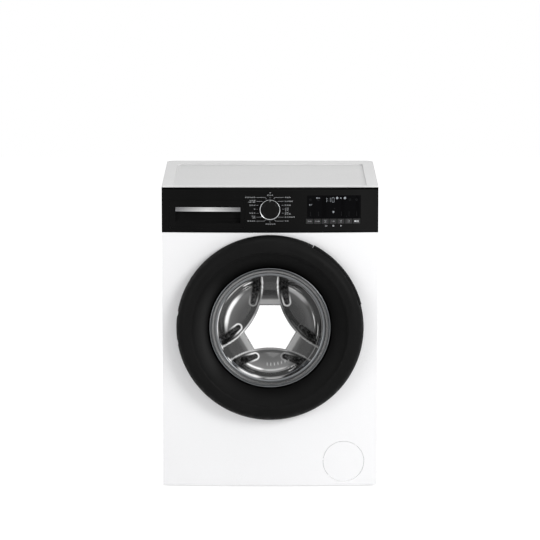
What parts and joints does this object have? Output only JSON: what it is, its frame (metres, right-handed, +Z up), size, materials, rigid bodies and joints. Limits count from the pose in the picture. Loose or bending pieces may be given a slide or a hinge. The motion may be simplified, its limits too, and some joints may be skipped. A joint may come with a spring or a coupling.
{
  "type": "front load washing machine",
  "caption": "Front load washing machine with a round porthole door and deep glass bowl, a detergent drawer, a programme dial, push keys and a sprung drum",
  "frame": {"origin": "centre of the footprint's bounding box, on the floor under the feet", "axes": "+Z up, the door and controls face -Y, +X to the right as seen from the front"},
  "size_m": [0.597, 0.605, 0.848],
  "materials": {
    "body_enamel": "smooth white enamel paint",
    "rear_sheet": "matt white paint on pressed sheet",
    "worktop_rim": "fine-grained white moulding",
    "worktop_board": "white laminate on particle board",
    "base_moulding": "ribbed grey moulding",
    "galvanised_steel": "zinc-coated pressed sheet",
    "spring_steel": "zinc-coated spring wire",
    "zinc_fasteners": "zinc-coated",
    "fascia_gloss": "gloss black moulding",
    "display_panel": "smoked black display panel",
    "circuit_board": "green circuit board",
    "drawer_moulding": "off-white moulding",
    "satin_silver": "satin silver",
    "bright_trim": "bright silver",
    "dial_gloss": "gloss black moulding",
    "key_plastic": "dark grey moulding",
    "door_gloss": "gloss black moulding",
    "door_frame_grey": "light grey moulding",
    "bowl_glass": "clear pressed glass",
    "hinge_casting": "die-cast",
    "steel_parts": "bright steel",
    "lock_moulding": "white moulding",
    "valve_moulding": "white moulding",
    "pump_moulding": "light grey moulding",
    "dark_moulding": "dark grey moulding",
    "gasket_rubber": "soft grey rubber",
    "black_rubber": "black rubber",
    "drain_hose_grey": "ribbed grey hose",
    "tub_moulding": "glass-filled grey moulding",
    "counterweight_iron": "rough casting",
    "motor_casting": "die-cast case",
    "drum_steel": "polished stainless sheet",
    "lifter_moulding": "light grey moulding",
    "spider_casting": "raw casting",
    "pulley_casting": "raw casting"
  },
  "bodies": {
    "cabinet": {"side_panels": "body_enamel", "rear_panel": "rear_sheet", "front_panel": "body_enamel", "base_frame": "base_moulding", "cross_brace": "galvanised_steel", "top_frame": "worktop_rim", "top_board": "worktop_board", "control_fascia": "fascia_gloss", "display_window": "display_panel", "control_board": "circuit_board", "dispenser_housing": "drawer_moulding", "hinge_bracket": "galvanised_steel", "door_lock": "lock_moulding", "inlet_valve": "valve_moulding", "drain_pump": "pump_moulding", "drain_spigot": "dark_moulding", "mains_gland": "dark_moulding", "foot_locknuts": "zinc_fasteners", "panel_screws": "zinc_fasteners", "dampers": "dark_moulding", "suspension_springs": "spring_steel", "door_gasket": "gasket_rubber", "sump_hose": "black_rubber", "fill_hose": "black_rubber", "drain_hose": "drain_hose_grey"},
    "door": {"door_ring": "door_gloss", "door_inner_frame": "door_frame_grey", "door_trim_ring": "bright_trim", "door_glass": "bowl_glass", "hinge_leaf": "hinge_casting", "hinge_pin": "steel_parts"},
    "handle": {"door_handle": "door_gloss"},
    "hook": {"door_hook": "steel_parts"},
    "drawer": {"drawer_front": "fascia_gloss", "drawer_grip_bar": "satin_silver", "drawer_tray": "drawer_moulding"},
    "dial": {"dial_knob": "dial_gloss", "dial_ring": "satin_silver"},
    "filter_cover": {"filter_cover": "body_enamel"},
    "pump_filter": {"pump_filter": "dark_moulding"},
    "tub": {"tub_front": "tub_moulding", "tub_rear": "tub_moulding", "counterweights": "counterweight_iron", "motor": "motor_casting", "heater": "steel_parts", "drive_belt": "black_rubber", "drum_bearings": "steel_parts"},
    "drum": {"drum_shell": "drum_steel", "drum_lifters": "lifter_moulding", "drum_spider": "spider_casting", "drum_pulley": "pulley_casting"},
    "motor_rotor": {"motor_pulley": "steel_parts"},
    "feet": {"feet": "black_rubber"},
    "key_1": {"key_1": "key_plastic"},
    "key_2": {"key_2": "key_plastic"},
    "key_3": {"key_3": "key_plastic"},
    "key_4": {"key_4": "key_plastic"},
    "key_5": {"key_5": "key_plastic"},
    "key_6": {"key_6": "key_plastic"},
    "key_7": {"key_7": "key_plastic"}
  },
  "joints": [
    {"name": "door_hinge", "type": "hinge", "parent": "cabinet", "child": "door", "pos_m": [-0.234, -0.2825, 0.455], "axis": [0, 0, -1], "range_deg": [0, 120]},
    {"name": "handle_pull", "type": "hinge", "parent": "door", "child": "handle", "pos_m": [0.17374, -0.2785, 0.5932], "axis": [0.6225, 0, -0.7826], "range_deg": [0, 5], "stiffness_Nm_per_rad": 1.5, "springref_deg": -17.19},
    {"name": "hook_swing", "type": "hinge", "parent": "door", "child": "hook", "pos_m": [0.203, -0.2485, 0.455], "axis": [0, 0, 1], "range_deg": [0, 9]},
    {"name": "drawer_slide", "type": "slide", "parent": "cabinet", "child": "drawer", "axis": [0, -1, 0], "range_m": [0, 0.2]},
    {"name": "dial_turn", "type": "hinge", "parent": "cabinet", "child": "dial", "pos_m": [0, -0.26, 0.784], "axis": [0, 1, 0], "continuous": true},
    {"name": "key_1_press", "type": "slide", "parent": "cabinet", "child": "key_1", "axis": [0, 1, 0], "range_m": [0, 0.0012], "stiffness_N_per_m": 250, "springref_m": -0.002},
    {"name": "key_2_press", "type": "slide", "parent": "cabinet", "child": "key_2", "axis": [0, 1, 0], "range_m": [0, 0.0012], "stiffness_N_per_m": 250, "springref_m": -0.002},
    {"name": "key_3_press", "type": "slide", "parent": "cabinet", "child": "key_3", "axis": [0, 1, 0], "range_m": [0, 0.0012], "stiffness_N_per_m": 250, "springref_m": -0.002},
    {"name": "key_4_press", "type": "slide", "parent": "cabinet", "child": "key_4", "axis": [0, 1, 0], "range_m": [0, 0.0012], "stiffness_N_per_m": 250, "springref_m": -0.002},
    {"name": "key_5_press", "type": "slide", "parent": "cabinet", "child": "key_5", "axis": [0, 1, 0], "range_m": [0, 0.0012], "stiffness_N_per_m": 250, "springref_m": -0.002},
    {"name": "key_6_press", "type": "slide", "parent": "cabinet", "child": "key_6", "axis": [0, 1, 0], "range_m": [0, 0.0012], "stiffness_N_per_m": 250, "springref_m": -0.002},
    {"name": "key_7_press", "type": "slide", "parent": "cabinet", "child": "key_7", "axis": [0, 1, 0], "range_m": [0, 0.0012], "stiffness_N_per_m": 250, "springref_m": -0.002},
    {"name": "cover_pull_off", "type": "slide", "parent": "cabinet", "child": "filter_cover", "axis": [0, -1, 0], "range_m": [0, 0.04]},
    {"name": "filter_turn", "type": "hinge", "parent": "cabinet", "child": "pump_filter", "pos_m": [0.2045, -0.2, 0.0745], "axis": [0, 1, 0], "range_deg": [0, 90]},
    {"name": "tub_bounce", "type": "slide", "parent": "cabinet", "child": "tub", "axis": [0, 0, 1], "range_m": [-0.008, 0.008], "stiffness_N_per_m": 32000, "springref_m": 0.00976, "deforming": ["suspension_springs", "dampers", "door_gasket", "sump_hose", "fill_hose"]},
    {"name": "drum_spin", "type": "hinge", "parent": "tub", "child": "drum", "pos_m": [0, 0, 0.455], "axis": [0, 1, 0], "continuous": true},
    {"name": "motor_spin", "type": "hinge", "parent": "tub", "child": "motor_rotor", "pos_m": [-0.05, 0.215, 0.112], "axis": [0, 1, 0], "continuous": true},
    {"name": "feet_screw", "type": "slide", "parent": "cabinet", "child": "feet", "axis": [0, 0, -1], "range_m": [0, 0.015]}
  ],
  "couplings": [
    {"joint": "hook_swing", "follows": "handle_pull", "ratio": 1.8},
    {"joint": "motor_spin", "follows": "drum_spin", "ratio": 14}
  ]
}
